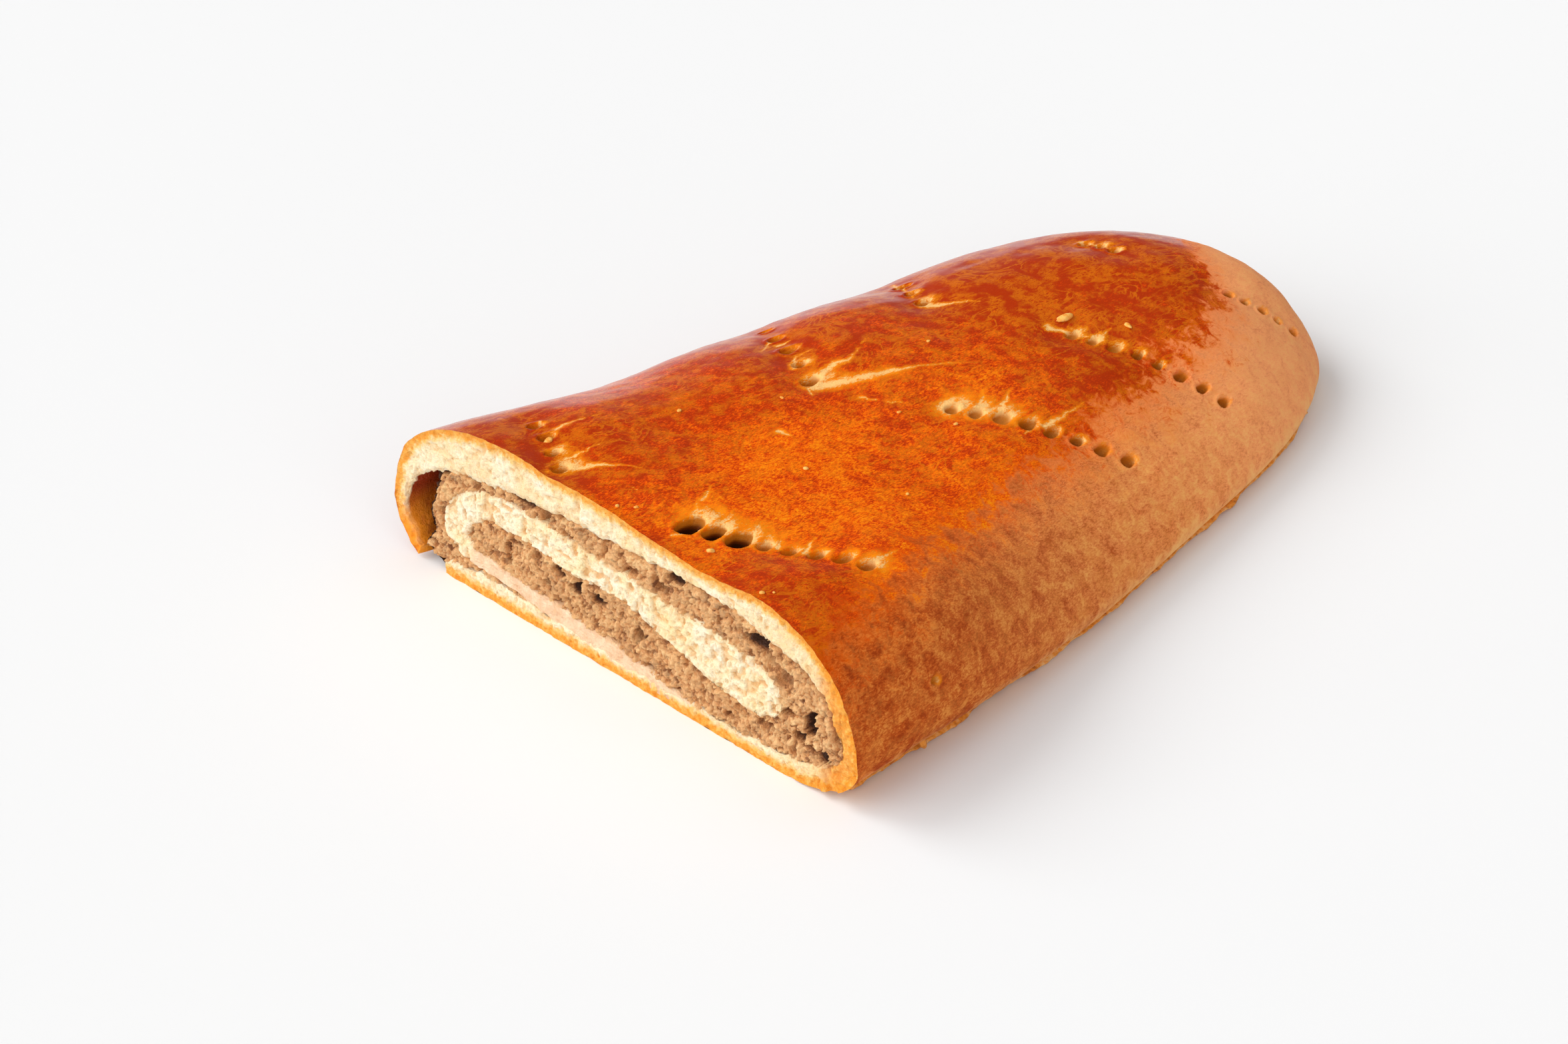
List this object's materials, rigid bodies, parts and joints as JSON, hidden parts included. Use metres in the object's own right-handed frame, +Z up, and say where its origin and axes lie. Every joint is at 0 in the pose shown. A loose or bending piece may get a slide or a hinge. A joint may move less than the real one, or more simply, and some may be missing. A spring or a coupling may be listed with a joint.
{
  "type": "nut strudel",
  "caption": "Flat baked roll of sweet dough around a ground nut filling, glazed and fork-pricked on top, cut straight across at one end.",
  "frame": {"origin": "centre of the roll's footprint, on the surface it rests on", "axes": "+Y runs from the cut end to the closed end, +X from left to right across the cut, +Z up"},
  "size_m": [0.1544, 0.2239, 0.0449],
  "materials": {
    "baked_dough": "glossy orange-brown egg-washed crust on top, paler on the right side, cream crumb at the cut",
    "ground_nuts": "moist coarse tan-brown paste of ground nuts with lumps and small glints"
  },
  "bodies": {
    "root": {"rolled_dough": "baked_dough", "nut_filling": "ground_nuts"}
  },
  "joints": []
}
